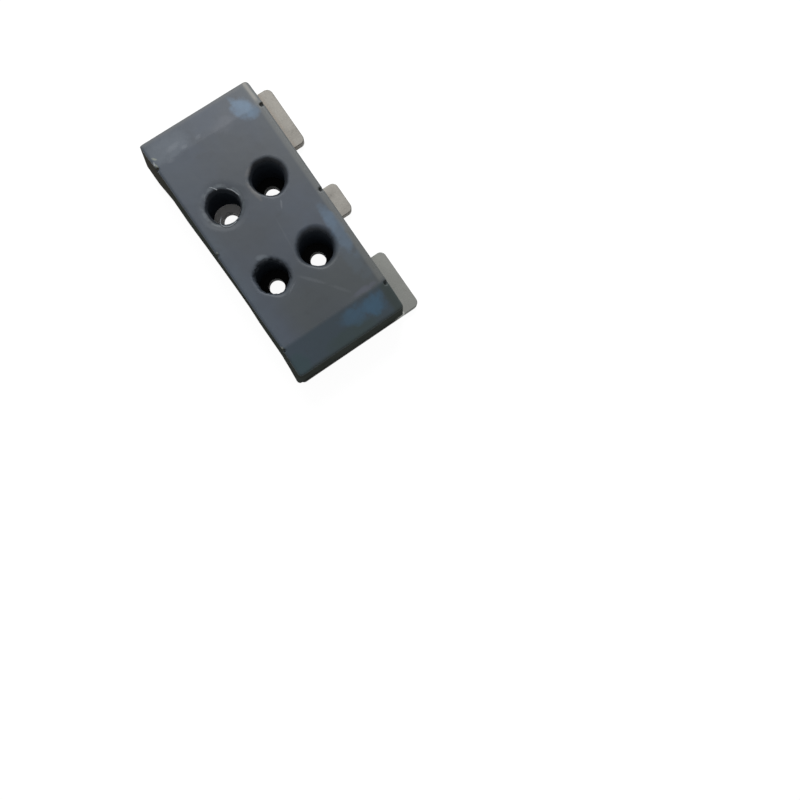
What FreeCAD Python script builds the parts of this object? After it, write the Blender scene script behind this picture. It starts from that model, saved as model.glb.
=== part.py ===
import FreeCAD, Part
import math
import os

# Paver track plate: a polyurethane tread pad moulded onto a flat steel plate. The steel
# stands out along one long side as three tabs, with a gap over each chain link between them.
# Sizes are in millimetres. X runs along the plate, across the machine's track, Y runs
# towards the tabs, and Z points up, away from the chain. The origin is the middle of the
# bolt pattern, on the plate's underside.

# Steel plate
plate_length = 300.0
plate_width = 139.0          # without the tabs
plate_thickness = 8.0
plate_offset = 4.0           # middle of the plate's width, from the bolt pattern towards the tabs
plate_corner_radius = 5.0
plate_edge_break = 0.8       # small bevel round the upper and lower edges

# Tabs: one at each end, flush with the plate's ends, and a short one in the middle
tab_reach = 20.0
end_tab_length = 74.5
middle_tab_length = 39.0
tab_corner_radius = 7.0
tab_root_radius = 4.0

# Bolt pattern
hole_spacing_length = 90.0
hole_spacing_width = 55.0
bolt_hole_diameter = 18.0

# Tread pad. Its far side is the long side away from the tabs, where it hangs over the plate.
pad_height = 42.0            # above the plate
pad_inset = 0.6              # ledge of steel left clear at the pad's ends and on the tab side
pad_overhang = 4.5           # how far the foot's corners stand out over the plate's far edge
end_draft = 1.0              # lean of the walls, in degrees
tab_side_draft = 3.5
far_side_draft = 10.0
pad_corner_radius = 5.0
pad_edge_radius = 3.0        # round all upper edges
ridge_radius = 10.0          # where the flat tread turns down into a bevel
bevel_length = 35.0          # from the plate's end to the ridge
bevel_drop = 7.0             # how much lower the pad's ends are than its tread

# Counterbores down through the pad to the plate, for bolt heads and a socket
counterbore_diameter = 36.5
mouth_width = 5.25           # how far the flared mouth spreads past the bore
mouth_depth = 6.5            # how deep the flare reaches
mouth_bulge = 0.25           # 0 makes the flare a full quarter round, 0.5 a straight cone

# Small notches in the pad's long upper edges, beside both ridges and near the middle
far_notch_width = 3.2
far_notch_inset = 1.2        # centre of the notch's round end, from the wall
tab_notch_width = 4.2
tab_notch_inset = 2.8
notch_depth = 5.0
ridge_notch_offset = 1.8     # along X, from the ridge
middle_notch_offset = -3.2


def rise(height, draft):
    """How far a leaning wall moves in over a height."""
    return height * math.tan(math.radians(draft))


# Places that follow from the sizes
half_length = plate_length / 2
plate_far_side = plate_offset - plate_width / 2
plate_tab_side = plate_offset + plate_width / 2
tab_tip = plate_tab_side + tab_reach
pad_top = plate_thickness + pad_height
pad_end_top = pad_top - bevel_drop
ridge_place = half_length - bevel_length
far_wall = plate_far_side - pad_overhang + rise(pad_height, far_side_draft)   # upper edges of the long walls
tab_wall = plate_tab_side - pad_inset - rise(pad_height, tab_side_draft)


def point(x, y, z=0.0):
    return FreeCAD.Vector(x, y, z)


def prism(corners, travel):
    """A straight-sided solid: a flat polygon carried along a vector."""
    outline = Part.makePolygon(corners + corners[:1])
    return Part.Face(outline).extrude(travel)


def bolt_places():
    """The four bolt axes, as X and Y."""
    return [(x * hole_spacing_length / 2, y * hole_spacing_width / 2) for x in (-1, 1) for y in (-1, 1)]


def upright(edge):
    """True for an edge that runs more up than along."""
    start, end = (vertex.Point for vertex in edge.Vertexes[:2])
    return abs(end.z - start.z) > 0.5 * start.distanceToPoint(end)


def steel_plate():
    """Flat plate cut to its outline, with three tabs and four bolt holes."""
    tab_edges = [
        (-half_length, end_tab_length - half_length),
        (-middle_tab_length / 2, middle_tab_length / 2),
        (half_length - end_tab_length, half_length),
    ]
    corners = [point(half_length, plate_far_side), point(-half_length, plate_far_side)]
    for start, end in tab_edges:
        if start > -half_length:
            corners.append(point(start, plate_tab_side))
        corners += [point(start, tab_tip), point(end, tab_tip)]
        if end < half_length:
            corners.append(point(end, plate_tab_side))
    plate = prism(corners, point(0, 0, plate_thickness))

    radii = {plate_far_side: plate_corner_radius, tab_tip: tab_corner_radius, plate_tab_side: tab_root_radius}
    for side, radius in radii.items():
        edges = [edge for edge in plate.Edges
                 if len(edge.Vertexes) == 2 and upright(edge) and abs(edge.CenterOfMass.y - side) < 0.001]
        plate = plate.makeFillet(radius, edges)

    rims = [edge for face in plate.Faces if abs(face.normalAt(0, 0).z) > 0.999 for edge in face.Edges]
    plate = plate.makeChamfer(plate_edge_break, rims)

    for x, y in bolt_places():
        hole = Part.makeCylinder(bolt_hole_diameter / 2, plate_thickness, point(x, y))
        plate = plate.cut(hole)
    return plate


def pad_block():
    """The pad's leaning walls and bevelled ends: its side view and its end view, each carried
    through the other."""
    foot_end = half_length - pad_inset
    upper_end = foot_end - rise(pad_end_top - plate_thickness, end_draft)
    side_view = [
        point(-foot_end, 0, plate_thickness),
        point(-upper_end, 0, pad_end_top),
        point(-ridge_place, 0, pad_top),
        point(ridge_place, 0, pad_top),
        point(upper_end, 0, pad_end_top),
        point(foot_end, 0, plate_thickness),
    ]
    far_foot = plate_far_side - pad_overhang
    tab_foot = plate_tab_side - pad_inset
    end_view = [
        point(0, far_foot, plate_thickness),
        point(0, far_wall, pad_top),
        point(0, tab_wall, pad_top),
        point(0, tab_foot, plate_thickness),
    ]
    along = prism([corner + point(0, far_foot) for corner in side_view], point(0, tab_foot - far_foot))
    ridges = [edge for edge in along.Edges
              if all(abs(abs(vertex.X) - ridge_place) < 0.001 for vertex in edge.Vertexes)
              and abs(edge.CenterOfMass.x) > ridge_place - 0.001]
    along = along.makeFillet(ridge_radius, ridges)
    across = prism([corner - point(half_length, 0) for corner in end_view], point(plate_length, 0))
    return along.common(across)


def middle(face):
    """The surface coordinates of a face's middle."""
    u0, u1, v0, v1 = face.ParameterRange
    return (u0 + u1) / 2, (v0 + v1) / 2


def upper_edges(block):
    """The edges that bound the tread, the ridges and the bevels together."""
    upper_faces = [face for face in block.Faces if face.normalAt(*middle(face)).z > 0.5]
    edges = [edge for face in upper_faces for edge in face.Edges]
    return [edge for edge in edges if sum(edge.isSame(other) for other in edges) == 1]


def edge_notch(x, wall, inward, width, inset):
    """A round-ended slot that opens through the wall."""
    radius = width / 2
    floor = pad_top - notch_depth
    centre = wall + inward * inset
    outside = wall - inward * notch_depth
    round_end = Part.makeCylinder(radius, notch_depth, point(x, centre, floor))
    low, high = sorted((centre, outside))
    throat = Part.makeBox(width, high - low, notch_depth, point(x - radius, low, floor))
    return round_end.fuse(throat)


def counterbore(x, y):
    """What one counterbore takes out of the pad: a straight bore that opens into a flared mouth."""
    radius = counterbore_diameter / 2
    rim = radius + mouth_width
    throat = pad_top - mouth_depth
    above = pad_top + mouth_depth
    bulge = point(radius + mouth_bulge * mouth_width, 0, pad_top - mouth_bulge * mouth_depth)
    flare = Part.BezierCurve()
    flare.setPoles([point(radius, 0, throat), bulge, point(rim, 0, pad_top)])
    straight = Part.makePolygon([
        point(rim, 0, pad_top),
        point(rim, 0, above),
        point(0, 0, above),
        point(0, 0, plate_thickness),
        point(radius, 0, plate_thickness),
        point(radius, 0, throat),
    ])
    profile = Part.Face(Part.Wire([flare.toShape()] + straight.Edges))
    bore = profile.revolve(point(0, 0), point(0, 0, 1), 360)
    return bore.translated(point(x, y))


def tread_pad():
    """Cast pad: leaning walls, bevelled ends, rounded edges, four counterbores and six notches."""
    pad = pad_block()
    corners = [edge for edge in pad.Edges if upright(edge)]
    pad = pad.makeFillet(pad_corner_radius, corners)
    pad = pad.makeFillet(pad_edge_radius, upper_edges(pad))

    for x, y in bolt_places():
        pad = pad.cut(counterbore(x, y))
    for x in (ridge_notch_offset - ridge_place, middle_notch_offset, ridge_notch_offset + ridge_place):
        pad = pad.cut(edge_notch(x, far_wall, 1, far_notch_width, far_notch_inset))
        pad = pad.cut(edge_notch(x, tab_wall, -1, tab_notch_width, tab_notch_inset))
    return pad


os.makedirs("parts", exist_ok=True)
for name, shape in (("steel_plate", steel_plate()), ("tread_pad", tread_pad())):
    solid = shape.Solids[0]
    print(f"{name}: {len(shape.Solids)} solid, valid {solid.isValid()}, {solid.Volume:.0f} mm3")
    solid.exportStep(f"parts/{name}.step")
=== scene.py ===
import math

import bmesh
import bpy
from mathutils import Matrix, Vector, noise
from mathutils.bvhtree import BVHTree


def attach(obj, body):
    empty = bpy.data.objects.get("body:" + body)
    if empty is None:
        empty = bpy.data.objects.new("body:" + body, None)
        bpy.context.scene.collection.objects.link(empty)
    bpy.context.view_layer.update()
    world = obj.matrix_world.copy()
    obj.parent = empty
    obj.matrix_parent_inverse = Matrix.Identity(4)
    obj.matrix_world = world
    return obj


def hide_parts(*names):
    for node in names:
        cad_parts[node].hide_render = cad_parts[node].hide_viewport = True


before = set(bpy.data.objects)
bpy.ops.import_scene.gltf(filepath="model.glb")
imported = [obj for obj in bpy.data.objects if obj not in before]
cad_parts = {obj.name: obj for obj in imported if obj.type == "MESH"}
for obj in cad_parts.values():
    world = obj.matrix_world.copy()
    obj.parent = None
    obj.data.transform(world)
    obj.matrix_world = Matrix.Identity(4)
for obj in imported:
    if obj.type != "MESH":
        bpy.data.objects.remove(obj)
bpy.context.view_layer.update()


# Steel plate. The flat carrier that bolts to the chain: rolled plate, flame cut to its outline
# with three tabs, and dulled to a warm light grey. It shows as the tabs and at the bottom of
# the counterbores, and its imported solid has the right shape, so only its finish is made here.

MM = 0.001
BOLT_X, BOLT_Y = 45, 27.5    # bolt axes, from the middle of their pattern, in mm


class Shade:
    """An output of a node in a material. Arithmetic on it adds Math nodes, and node() any other node."""

    def __init__(self, tree, output=None):
        self.tree = tree
        self.output = output

    def node(self, kind, settings=None, inputs=None, output=0):
        """Adds a node: its settings first, then the values or links of its sockets."""
        made = self.tree.nodes.new(kind)
        for name, value in (settings or {}).items():
            setattr(made, name, value)
        for name, value in (inputs or {}).items():
            socket = made.inputs[name]
            if isinstance(value, Shade):
                self.tree.links.new(value.output, socket)
            else:
                socket.default_value = (*value, 1.0) if socket.type == "RGBA" else value
        return Shade(self.tree, made.outputs[output])

    def math(self, operation, *values):
        return self.node("ShaderNodeMath", {"operation": operation}, dict(enumerate(values)))

    def __add__(self, other):
        return self.math("ADD", self, other)

    def __sub__(self, other):
        return self.math("SUBTRACT", self, other)

    def __rsub__(self, other):
        return self.math("SUBTRACT", other, self)

    def __mul__(self, other):
        return self.math("MULTIPLY", self, other)

    def __truediv__(self, other):
        return self.math("DIVIDE", self, other)

    def __abs__(self):
        return self.math("ABSOLUTE", self)

    __radd__ = __add__
    __rmul__ = __mul__

    def root(self):
        return self.math("SQRT", self)

    def ramp(self, low, high):
        """0 below low and 1 above high, with a smooth rise between. A high under low turns it round."""
        return self.node("ShaderNodeMapRange", {"interpolation_type": "SMOOTHSTEP"},
                         {"Value": self, "From Min": low, "From Max": high})

    def axis(self, name):
        """The X, Y or Z of a place."""
        return self.node("ShaderNodeSeparateXYZ", inputs={"Vector": self}, output=name)

    def noise(self, size, detail=2.0, roughness=0.5):
        """Cloudy noise from 0 to 1 on a place in mm. size is the width of its patches, in mm."""
        place = self.node("ShaderNodeVectorMath", {"operation": "MULTIPLY"}, {0: self, 1: (1 / size,) * 3})
        return self.node("ShaderNodeTexNoise", {"noise_dimensions": "3D"},
                         {"Vector": place, "Scale": 1.0, "Detail": detail, "Roughness": roughness})

    def between(self, low, high):
        """A colour for this mask: low where it is 0 and high where it is 1."""
        return self.node("ShaderNodeMix", {"data_type": "RGBA"}, {0: self, 6: low, 7: high}, 2)

    def under(self, *layers):
        """This colour with others laid over it in turn. Each layer is a colour and its mask."""
        colour = self
        for tint, mask in layers:
            colour = mask.between(colour, tint)
        return colour

    def bump(self, distance, strength):
        """A normal from this height, whose 1 stands for a distance in metres."""
        return self.node("ShaderNodeBump",
                         inputs={"Height": self, "Distance": distance, "Strength": strength})


def new_material(name, **values):
    """A material with a Principled surface, and the place on the part in mm."""
    material = bpy.data.materials.new(name)
    material.use_nodes = True
    surface = material.node_tree.nodes["Principled BSDF"]
    for socket, value in values.items():
        surface.inputs[socket.replace("_", " ")].default_value = value
    start = Shade(material.node_tree)
    metres = start.node("ShaderNodeTexCoord", output="Object")
    place = start.node("ShaderNodeVectorMath", {"operation": "SCALE"}, {0: metres, "Scale": 1 / MM})
    return material, surface, place


def set_surface(surface, **shades):
    """Links shades to the sockets of a surface."""
    for socket, shade in shades.items():
        shade.tree.links.new(shade.output, surface.inputs[socket.replace("_", " ")])


def plan_distance(from_x, from_y):
    return (from_x * from_x + from_y * from_y).root()


def from_bolt_axis(x, y):
    """How far a place is from the nearest bolt axis, in plan, in mm."""
    return plan_distance(abs(x) - BOLT_X, abs(y) - BOLT_Y)


def steel_finish():
    material, surface, place = new_material("dull_plate_steel", Specular_IOR_Level=0.1)
    x, y, z = (place.axis(name) for name in "XYZ")
    clouds = place.noise(28, 3.0)
    grain = place.noise(1.6, 2.0, 0.6)
    left_tab = x.ramp(-40, -80)
    # painted shade where the tabs run in under the pad
    tab_root_shade = (y + clouds * 12).ramp(78, 62) * z.ramp(0.1, 0.8)
    outside_bores = from_bolt_axis(x, y).ramp(18.6, 19.4)

    colour = clouds.ramp(0.35, 0.65).between((0.27, 0.258, 0.237), (0.35, 0.338, 0.310)).under(
        # the left tab is darker, with rust beside the pad
        ((0.20, 0.190, 0.172), left_tab * 0.5),
        ((0.20, 0.150, 0.110), left_tab * y.ramp(84, 73) * clouds.ramp(0.4, 0.6) * 0.6),
        # the right tab is greener, with a pale chip beside the pad's corner
        ((0.255, 0.272, 0.262), x.ramp(50, 80) * 0.6),
        ((0.62, 0.64, 0.60), x.ramp(144.5, 147.5) * y.ramp(74, 72) * 0.8),
        # dark specks, and painted shade along the tabs' roots, beside and under the pad
        ((0.10, 0.095, 0.085), place.noise(5).ramp(0.62, 0.8) * 0.3),
        ((0.035, 0.036, 0.032), tab_root_shade))
    # The floors of the bores are painted black as shade, apart from a bare one under the torn mouth
    bare_floor = x.ramp(-20, -22) * y.ramp(-6, -8)
    floor_shade_and_bare_patch = bare_floor.between((0.012, 0.012, 0.012), (0.90, 0.89, 0.87))
    set_surface(surface,
                Base_Color=floor_shade_and_bare_patch.under((colour, outside_bores)),
                Metallic=outside_bores * (1.0 - tab_root_shade) * (0.45 + 0.15 * clouds),
                Roughness=0.5 + 0.2 * grain,
                Normal=grain.bump(0.15 * MM, 0.5))
    return material


steel_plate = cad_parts["steel_plate"]
for slot in steel_plate.material_slots:
    slot.material = steel_finish()


# Tread pad. One block of polyurethane cast on the plate in an open mould: leaning walls,
# bevelled ends, and a counterbore with a rounded mouth over each bolt hole. It shrank a little
# as it set, so its far side is pulled in at mid-length, and its skin waves slightly.

PAD_VOXEL = 1.3 * MM
PAD_FOOT, PAD_TOP = 8 * MM, 50 * MM
BORE_RADIUS = 18.25 * MM
RIM_RADIUS = 23.5 * MM

# The mouths of the counterbores: bolt axis, how far the rim moved out in the eight directions from
# +X through +Y, and how far the lip is torn out of round, all in mm
TORN_MOUTH = (-BOLT_X, -BOLT_Y)
MOUTHS = [
    ((-BOLT_X, BOLT_Y), (0.5, 0.4, 0.7, -0.4, -2.2, -4.9, -4.2, -3.4), 0.4),
    ((BOLT_X, BOLT_Y), (1.0, 1.6, 1.5, 1.4, 0.0, -2.2, -1.8, -2.5), 0.3),
    (TORN_MOUTH, (0.4, -0.5, -2.4, -5.5, -5.2, -6.0, -5.0, -1.4), 0.6),
    ((BOLT_X, -BOLT_Y), (0.5, -1.0, -2.0, -3.0, -3.6, -3.6, -5.0, -4.0), 1.3),
]
LIP_FLOOR = 36 * MM          # nothing in a bore moved below this height
LIP_FADE = 7 * MM            # a move fades over this width past the rim, and this height above the floor
BORE_SHARE = 0.45            # how much of the rim's move the bore's wall shares
TEAR_RADIUS = 20 * MM        # where a lip is torn most
TEAR_WIDTH = 6 * MM          # how far from there the tear reaches
# The skin round the torn mouth lies a little lower
SUNK_DEPTH, SUNK_RADIUS, SUNK_EDGE, SUNK_FLOOR = 0.5 * MM, 28 * MM, 3.5 * MM, 44 * MM

# How far the far wall is pulled in, in mm: place along the pad, pull at the foot, pull at the upper edge
FAR_SIDE_PULL = [(-150, 0.0, 0.2), (-122, 0.2, 0.3), (-98, 2.4, 0.5), (-70, 2.2, 0.7), (-10, 3.8, 0.9),
                 (45, 4.6, 0.9), (68, 3.7, 1.0), (112, 3.6, 1.5), (130, 2.4, 1.5), (150, 0.5, 1.4)]

# The corner of the left end and the far wall, which is hardly rounded
LEFT_FOOT, FAR_FOOT = -149.4 * MM, -70 * MM
LEFT_LEAN, FAR_LEAN = math.tan(math.radians(1)), math.tan(math.radians(10))
CORNER_RADIUS = 5 * MM


def add_object(name, data):
    """A new object in the scene."""
    made = bpy.data.objects.new(name, data)
    bpy.context.scene.collection.objects.link(made)
    return made


def finished_mesh(holder):
    """The mesh that an object's modifiers or bevel make. The object itself goes."""
    made = bpy.data.meshes.new_from_object(holder.evaluated_get(bpy.context.evaluated_depsgraph_get()))
    bpy.data.objects.remove(holder)
    return made


def even_mesh(source, voxel):
    """The faces of a CAD mesh made over as small even ones that lie on its surface."""
    form = bmesh.new()
    form.from_mesh(source.data)
    bmesh.ops.remove_doubles(form, verts=form.verts, dist=MM / 1000)
    tree = BVHTree.FromBMesh(form)
    welded = bpy.data.meshes.new("welded")
    form.to_mesh(welded)
    form.free()
    holder = add_object("holder", welded)
    remesh = holder.modifiers.new("even", "REMESH")
    remesh.mode = "VOXEL"
    remesh.voxel_size = voxel
    even = finished_mesh(holder)
    for vertex in even.vertices:
        vertex.co = tree.find_nearest(vertex.co)[0]
    return even


def part_way(value, start, end):
    """How far a value is on the way from start to end, from 0 to 1."""
    return max(0.0, min(1.0, (value - start) / (end - start)))


def shrink(place):
    """How far the far wall moved in along Y as the casting set, most at mid-length and at the foot."""
    x = place.x / MM
    for (start, *pull_start), (end, *pull_end) in zip(FAR_SIDE_PULL, FAR_SIDE_PULL[1:]):
        if x <= end:
            break
    share = part_way(x, start, end)
    foot, top = (a + (b - a) * share for a, b in zip(pull_start, pull_end))
    height = part_way(place.z, PAD_FOOT, PAD_TOP)
    far_side = part_way(place.y, -50 * MM, -60 * MM)
    return (foot + (top - foot) * height) * far_side * MM


def from_bolt(place):
    """How far a place is from the nearest bolt axis, in plan."""
    return min((place.xy - Vector(axis) * MM).length for axis, _, _ in MOUTHS)


def mouth_shift(place):
    """How a place at a counterbore's mouth moved, from the bolt axis or to it, as the lip set and tore."""
    for axis, rim_moves, tear_depth in MOUTHS:
        arm = place.xy - Vector(axis) * MM
        reach = arm.length
        if reach < RIM_RADIUS + LIP_FADE and place.z > LIP_FLOOR:
            way = arm.normalized()
            turn = math.atan2(arm.y, arm.x) / math.radians(45) % 8
            before = int(turn) % 8
            share = turn - int(turn)
            share = share * share * (3 - 2 * share)
            move = rim_moves[before] * (1 - share) + rim_moves[(before + 1) % 8] * share
            flared = part_way(reach, BORE_RADIUS, RIM_RADIUS)
            near = part_way(reach, RIM_RADIUS + LIP_FADE, RIM_RADIUS)
            near_lip = part_way(abs(reach - TEAR_RADIUS), TEAR_WIDTH, 0)
            seed = Vector((way.x * 1.6, way.y * 1.6, axis[0] * 0.37 + axis[1]))
            tear = noise.noise(seed) + 0.7 * noise.noise(seed * 3.3) + 0.8 * noise.noise(place / (3 * MM))
            upper = part_way(place.z, LIP_FLOOR, LIP_FLOOR + LIP_FADE)
            shared = BORE_SHARE + (1 - BORE_SHARE) * flared
            return way.to_3d() * (move * shared * near + tear * tear_depth * near_lip) * upper * MM
    return Vector((0, 0, 0))


def sharper_corner(place):
    """How a place at the hardly rounded corner moved out, from the solid's round to half a round."""
    rise = place.z - PAD_FOOT
    arm = place.xy - Vector((LEFT_FOOT + rise * LEFT_LEAN + CORNER_RADIUS,
                             FAR_FOOT + rise * FAR_LEAN + CORNER_RADIUS))
    if arm.x >= 0 or arm.y >= 0:
        return Vector((0, 0, 0))
    return (arm * 0.5 * (arm.length / max(-arm.x, -arm.y) - 1)).to_3d()


def sunk_skin(place):
    """How much lower the skin lies round the mouth where flash was torn away."""
    if place.z <= SUNK_FLOOR:
        return 0.0
    reach = (place.xy - Vector(TORN_MOUTH) * MM).length
    return SUNK_DEPTH * part_way(reach, SUNK_RADIUS, SUNK_RADIUS - SUNK_EDGE)


def pad_mesh():
    mesh = even_mesh(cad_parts["tread_pad"], PAD_VOXEL)
    mesh.update()
    normals = [vertex.normal.copy() for vertex in mesh.vertices]
    for vertex, normal in zip(mesh.vertices, normals):
        place = vertex.co.copy()
        wave = 0.10 * noise.noise(place / (30 * MM)) + 0.04 * noise.noise(place / (8 * MM)) - 0.08
        if place.z > PAD_FOOT + 0.5 * MM:
            vertex.co = place + normal * wave * MM + mouth_shift(place)
        vertex.co += sharper_corner(place)
        vertex.co.y += shrink(place)
        vertex.co.z = min(vertex.co.z - sunk_skin(place), PAD_TOP)
    mesh.shade_smooth()
    return mesh


# Soft patches on the skin, the pale blue ones painted sheen, a reflection of cool light: place in mm along
# and across the tread, half-sizes, turn, strength, colour
SHEEN_BLUE = (0.112, 0.178, 0.260)
DEEP_BLUE = (0.050, 0.108, 0.170)
SHEEN_AND_TINTS = [
    ((-122, 48), (18, 13), 10, 0.75, SHEEN_BLUE),
    ((-131, 46), (14, 6), 15, 0.6, SHEEN_BLUE),
    ((-113, 56), (11, 8), 0, 0.6, SHEEN_BLUE),
    ((-128, -38), (18, 32), 0, 0.60, (0.105, 0.125, 0.150)),
    ((44, 58), (38, 9), 2, 0.40, SHEEN_BLUE),
    ((25, 57), (20, 7), -8, 0.35, SHEEN_BLUE),
    ((70, 55), (40, 12), 0, 0.12, SHEEN_BLUE),
    ((-117, 22), (12, 15), 0, 0.3, (0.120, 0.132, 0.165)),
    ((141, 12), (11, 42), 0, 0.6, (0.040, 0.062, 0.058)),
    ((129, 45), (14, 17), 0, 0.85, DEEP_BLUE),
    ((128, 25), (12, 25), -8, 0.6, DEEP_BLUE),
    ((125, 34), (11, 20), 0, 0.45, DEEP_BLUE),
    ((137, -58), (14, 18), 0, 0.7, (0.038, 0.072, 0.080)),
    ((110.5, 44), (4.5, 17), 0, 0.7, (0.090, 0.098, 0.130)),
    ((24, -24), (4, 8), -35, 0.45, (0.150, 0.175, 0.200)),
    ((-40.0, 8.0), (14, 3.4), 8, 0.55, (0.135, 0.131, 0.128)),
    ((-60.5, 16.0), (3.4, 10), 32, 0.50, (0.125, 0.124, 0.127)),
]
# Scuffs, burrs beside the notches, and scratches, in the same way
PALE = (0.25, 0.27, 0.30)
BURR_GREEN = (0.22, 0.24, 0.21)
SCUFFS = [
    ((-125.5, -35), (4.5, 10), 6, 0.17, PALE),
    ((-118.5, -25), (3.0, 5.0), -5, 0.21, PALE),
    ((-120, -7), (2.8, 4.5), 12, 0.14, PALE),
    ((-113, -45), (2.8, 6), -10, 0.10, PALE),
    ((-125, -58), (4.0, 1.6), 38, 0.9, BURR_GREEN),
    ((-117.5, -60.4), (6.0, 1.6), 10, 0.9, BURR_GREEN),
    ((-5.4, -59.6), (2.2, 1.2), 0, 0.7, BURR_GREEN),
    ((114, -60.2), (2.4, 1.4), 0, 0.8, BURR_GREEN),
    ((-12.5, 24.5), (1.3, 6.0), 62, 0.26, PALE),
    ((17, 9), (26, 1.4), -6, 0.05, PALE),
    ((72, 6), (19, 2.4), 41, 0.11, PALE),
    ((96, 25), (16, 2.2), 37, 0.07, PALE),
    ((67, -16), (1.2, 10), 30, 0.18, PALE),
]


def spot(x, y, at, reach, turn, ragged):
    """1 at the middle of an ellipse on the tread and 0 outside it. ragged wears its edge away."""
    cos, sin = math.cos(math.radians(turn)), math.sin(math.radians(turn))
    from_x, from_y = x - at[0], y - at[1]
    along = (from_x * cos + from_y * sin) / reach[0]
    across = (from_y * cos - from_x * sin) / reach[1]
    return (along * along + across * across + ragged).ramp(1.0, 0.0)


def polyurethane():
    """The cast skin: slate grey and blue, with painted sheen and tints, painted highlights on its edges,
    painted shade in the flares, and scuffs.
    """
    material, surface, place = new_material("slate_polyurethane", Specular_IOR_Level=0.4)
    x, y, z = (place.axis(name) for name in "XYZ")
    clouds = place.noise(70, 3.0)
    small_clouds = place.noise(14, 3.0, 0.6)
    fine = place.noise(1.8, 3.0, 0.65)
    from_axis = from_bolt_axis(x, y)
    from_torn = plan_distance(x - TORN_MOUTH[0], y - TORN_MOUTH[1])
    torn_ring = from_torn.ramp(19.0, 20.5) * from_torn.ramp(24.5, 21.5) * place.noise(8, 3.0).ramp(0.35, 0.6)

    colour = clouds.ramp(0.35, 0.65).between((0.060, 0.071, 0.085), (0.065, 0.081, 0.108)).under(
        # the tread: greyer towards the tabs and the right end, bluer along the far side
        ((0.070, 0.082, 0.090), y.ramp(40, 72) * 0.5),
        ((0.060, 0.070, 0.074), x.ramp(40, 85) * y.ramp(-50, -25) * 0.7),
        ((0.075, 0.098, 0.125), y.ramp(-42, -60) * x.ramp(-60, -10) * 0.55),
        ((0.078, 0.098, 0.124), y.ramp(-15, -50) * x.ramp(-20, -60) * 0.35),
        ((0.045, 0.054, 0.064), y.ramp(-30, -5) * y.ramp(30, 5) * x.ramp(-90, -50) * 0.3),
        # the right bevel, darker and bluer: the darkening is painted shade on the face turned from the light
        ((0.044, 0.066, 0.086), x.ramp(112, 118) * 0.8),
        # the flares, darkened with painted shade going down into the bores, the left ones most
        ((0.030, 0.036, 0.045), z.ramp(49.8, 47.0) * from_axis.ramp(26, 24.5) * 0.85),
        ((0.012, 0.015, 0.020), z.ramp(49.9, 48.7) * from_axis.ramp(25, 23.5) * x.ramp(-10, -30) * 0.8),
        # grime in patches
        ((0.045, 0.050, 0.055), small_clouds.ramp(0.55, 0.75) * 0.25),
        ((0.046, 0.053, 0.062), place.noise(36).ramp(0.52, 0.68) * 0.22),
        # upper edges: painted highlights at the left end and at its far corner, paler on the tab side,
        # greenish at the right end
        ((0.15, 0.153, 0.150), x.ramp(-141, -149) * 0.6),
        ((0.15, 0.157, 0.150), y.ramp(61, 65) * x.ramp(116, 108) * 0.55),
        ((0.32, 0.305, 0.275), y.ramp(63.0, 65.5) * y.ramp(68.5, 66.5) * x.ramp(-117, -124) * 0.5),
        ((0.040, 0.054, 0.050), y.ramp(57, 63) * x.ramp(113, 118) * 0.8),
        ((0.034, 0.044, 0.040), x.ramp(143, 148) * 0.6),
        # thin pale flash round the torn mouth
        ((0.150, 0.175, 0.195), torn_ring * 0.5))
    for marks, ragged in ((SHEEN_AND_TINTS, small_clouds * 2.0 - 1.0), (SCUFFS, fine * 1.6 - 0.8)):
        for at, reach, turn, strength, tint in marks:
            colour = colour.under((tint, spot(x, y, at, reach, turn, ragged) * strength))
    set_surface(surface,
                Base_Color=colour,
                Roughness=0.44 + 0.10 * clouds + 0.06 * fine,
                Normal=(fine * 0.3 + small_clouds).bump(0.25 * MM, 0.35))
    return material


def outer_wall_finish():
    """The walls as they left the mould: matt, dull with old grease and dust, and browner at the left."""
    material, surface, place = new_material("greasy_cast_wall", Roughness=0.9, Specular_IOR_Level=0.0)
    clouds = place.noise(18, 4.0, 0.6)
    colour = clouds.ramp(0.3, 0.7).between((0.070, 0.080, 0.071), (0.094, 0.106, 0.095)).under(
        ((0.125, 0.112, 0.095), place.axis("X").ramp(-60, -130) * 0.6))
    set_surface(surface, Base_Color=colour, Normal=clouds.bump(0.4 * MM, 0.5))
    return material


def bore_shade_finish():
    """A bore's wall, painted dark as shade: cloudy black below, and evenly dark near its mouth."""
    material, surface, place = new_material("bore_wall_painted_shade", Roughness=0.9, Specular_IOR_Level=0.0)
    colour = place.noise(9, 3.0).between((0.022, 0.028, 0.036), (0.050, 0.062, 0.080)).under(
        ((0.036, 0.043, 0.053), place.axis("Z").ramp(37, 46)))
    set_surface(surface, Base_Color=colour)
    return material


SKIN, WALL, BORE = range(3)
STEEP = 0.45                 # a face whose normal rises less than this is a wall


def finish_of(centre, normal):
    """Which of the pad's finishes a face has."""
    if normal.z >= STEEP:
        return SKIN
    return BORE if from_bolt(centre) < RIM_RADIUS + 1.5 * MM else WALL


pad = add_object("cast_tread_pad", pad_mesh())
pad.data.materials.clear()
for finish in (polyurethane(), outer_wall_finish(), bore_shade_finish()):
    pad.data.materials.append(finish)
for face in pad.data.polygons:
    face.material_index = finish_of(face.center, face.normal)
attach(pad, "root")
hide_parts("tread_pad")


# Flash. Thin threads of polyurethane that crept out of the mould and set round one torn mouth,
# and a burr beside a notch. They are part of the casting, and paler than its skin.

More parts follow.
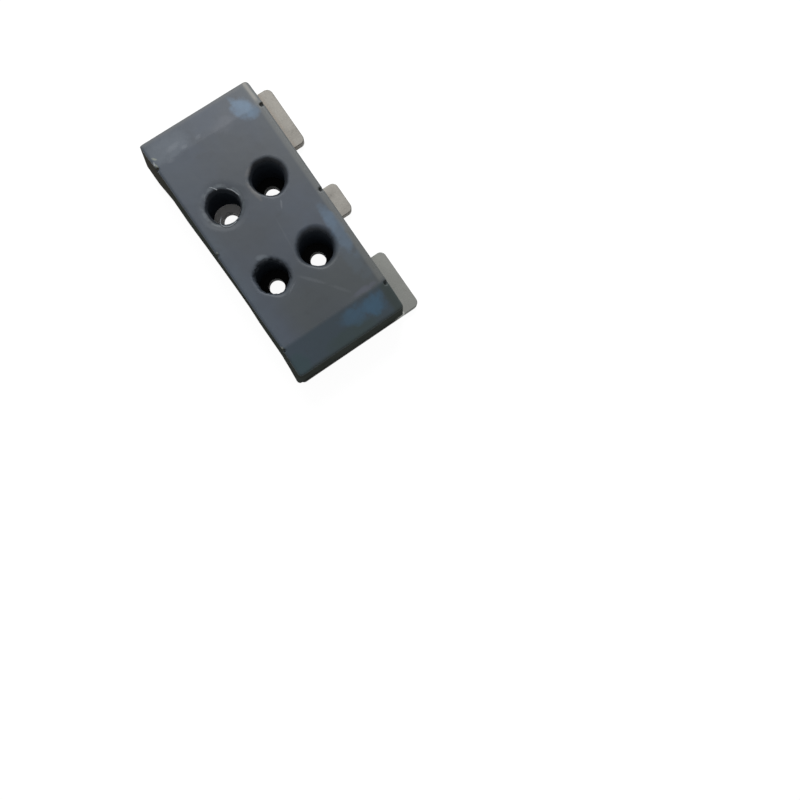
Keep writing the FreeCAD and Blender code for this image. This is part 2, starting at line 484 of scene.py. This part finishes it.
# Thickness, and places along the thread, all in mm
FLASH = [
    (1.6, [(-68.5, -27.8, 48.9), (-65.2, -24.8, 49.1), (-61.8, -22.4, 48.9)]),
    (1.2, [(-58.3, -13.7, 48.8), (-53.0, -9.7, 49.1), (-44.6, -6.6, 48.8)]),
    (0.9, [(-64.5, -33.5, 48.9), (-62.0, -37.6, 49.1), (-58.0, -40.6, 48.9)]),
    (1.0, [(-30.0, -39.6, 49.4), (-26.2, -38.8, 49.4), (-23.4, -36.4, 49.4), (-21.8, -32.0, 49.4),
           (-22.1, -27.0, 49.2)]),
    (0.7, [(-36.6, -35.0, 46.0), (-33.5, -37.4, 47.6), (-30.0, -39.6, 49.4)]),
    (1.7, [(-22.1, -27.0, 49.0), (-23.0, -24.6, 48.8)]),
    (1.4, [(-24.0, -22.5, 49.0), (-25.0, -20.8, 49.0)]),
    (2.2, [(-121.8, -60.3, 47.7), (-119.6, -61.0, 48.0), (-117.6, -61.2, 48.2)]),
]


def strand(points, thickness):
    """The mesh of a round thread through a few places."""
    curve = bpy.data.curves.new("strand", "CURVE")
    curve.dimensions = "3D"
    curve.bevel_depth = thickness / 2 * MM
    curve.bevel_resolution = 2
    curve.use_fill_caps = True
    line = curve.splines.new("BEZIER")
    line.bezier_points.add(len(points) - 1)
    for knot, place in zip(line.bezier_points, points):
        knot.co = Vector(place) * MM
        knot.handle_left_type = knot.handle_right_type = "AUTO"
    return finished_mesh(add_object("holder", curve))


def flash_finish():
    material, surface, place = new_material("pale_flash", Roughness=0.5)
    clouds = place.noise(3)
    colour = clouds.ramp(0.3, 0.7).between((0.175, 0.195, 0.215), (0.225, 0.245, 0.265))
    set_surface(surface, Base_Color=colour, Normal=clouds.bump(0.2 * MM, 0.4))
    return material


flash_material = flash_finish()
for number, (thickness, points) in enumerate(FLASH, 1):
    thread = add_object(f"flash_{number}", strand(points, thickness))
    thread.data.materials.clear()
    thread.data.materials.append(flash_material)
    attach(thread, "root")


# Studio. A pale floor that the plate lies on, with its soft shadow, one large soft lamp from
# the plate's left end, and an even sky, which the camera sees as white.

FLOOR_HALF = 3.0
FLOOR_DROP = 0.2 * MM        # keeps the floor clear of the plate's underside


def floor_finish():
    """White where the camera or a reflection sees it, and dull in the light that it throws back."""
    material = bpy.data.materials.new("studio_floor")
    material.use_nodes = True
    tree = material.node_tree
    tree.nodes.remove(tree.nodes["Principled BSDF"])
    start = Shade(tree)
    seen = start.node("ShaderNodeLightPath", output="Is Camera Ray")
    for ray in ("Is Glossy Ray", "Is Transmission Ray"):
        seen = seen.math("MAXIMUM", seen, start.node("ShaderNodeLightPath", output=ray))
    dull = start.node("ShaderNodeBsdfDiffuse", inputs={"Color": (0.30, 0.30, 0.30)})
    pale = start.node("ShaderNodeBsdfDiffuse", inputs={"Color": (0.12, 0.12, 0.12)})
    glow = start.node("ShaderNodeEmission", inputs={"Color": (1.0, 1.0, 1.0), "Strength": 0.95})
    white = start.node("ShaderNodeAddShader", inputs={0: pale, 1: glow})
    finish = start.node("ShaderNodeMixShader", inputs={0: seen, 1: dull, 2: white})
    tree.links.new(finish.output, tree.nodes["Material Output"].inputs["Surface"])
    return material


floor_mesh = bpy.data.meshes.new("floor")
floor_mesh.from_pydata([(-FLOOR_HALF, -FLOOR_HALF, 0), (FLOOR_HALF, -FLOOR_HALF, 0),
                        (FLOOR_HALF, FLOOR_HALF, 0), (-FLOOR_HALF, FLOOR_HALF, 0)], [], [(0, 1, 2, 3)])
floor_mesh.materials.append(floor_finish())
floor = add_object("floor", floor_mesh)
floor.location.z = -FLOOR_DROP

world = bpy.data.worlds.new("studio")
world.use_nodes = True
sky = Shade(world.node_tree)
seen_sky = sky.node("ShaderNodeLightPath", output="Is Camera Ray")
dim_sky = sky.node("ShaderNodeBackground", inputs={"Color": (1.0, 1.0, 1.0), "Strength": 0.35})
white_sky = sky.node("ShaderNodeBackground", inputs={"Color": (1.0, 1.0, 1.0), "Strength": 1.0})
whole_sky = sky.node("ShaderNodeMixShader", inputs={0: seen_sky, 1: dim_sky, 2: white_sky})
world.node_tree.links.new(whole_sky.output, world.node_tree.nodes["World Output"].inputs["Surface"])
bpy.context.scene.world = world

LAMP_PLACE = Vector((-1.45, 0.75, 1.45))

key_light = bpy.data.lights.new("key_lamp", "AREA")
key_light.shape = "RECTANGLE"
key_light.size, key_light.size_y = 1.4, 1.2
key_light.energy = 42
key_lamp = add_object("key_lamp", key_light)
towards_plate = (-LAMP_PLACE).to_track_quat("-Z", "Y").to_matrix().to_4x4()
key_lamp.matrix_world = Matrix.Translation(LAMP_PLACE) @ towards_plate


# Camera. It stands over the plate's right half and looks almost straight down.

CAMERA_PLACE = Vector((0.2349, -0.0414, 0.6408))
CAMERA_VIEW = Vector((-0.01343, 0.08565, -0.99623))
CAMERA_RIGHT = Vector((0.57045, 0.81894, 0.06271))

camera_data = bpy.data.cameras.new("camera")
camera_data.sensor_width = 36.0
camera_data.lens = 25.68
camera = add_object("camera", camera_data)
axes = Matrix((CAMERA_RIGHT, CAMERA_RIGHT.cross(CAMERA_VIEW), -CAMERA_VIEW)).transposed()
camera.matrix_world = Matrix.Translation(CAMERA_PLACE) @ axes.to_4x4()
bpy.context.scene.camera = camera
bpy.context.scene.view_settings.view_transform = "Standard"
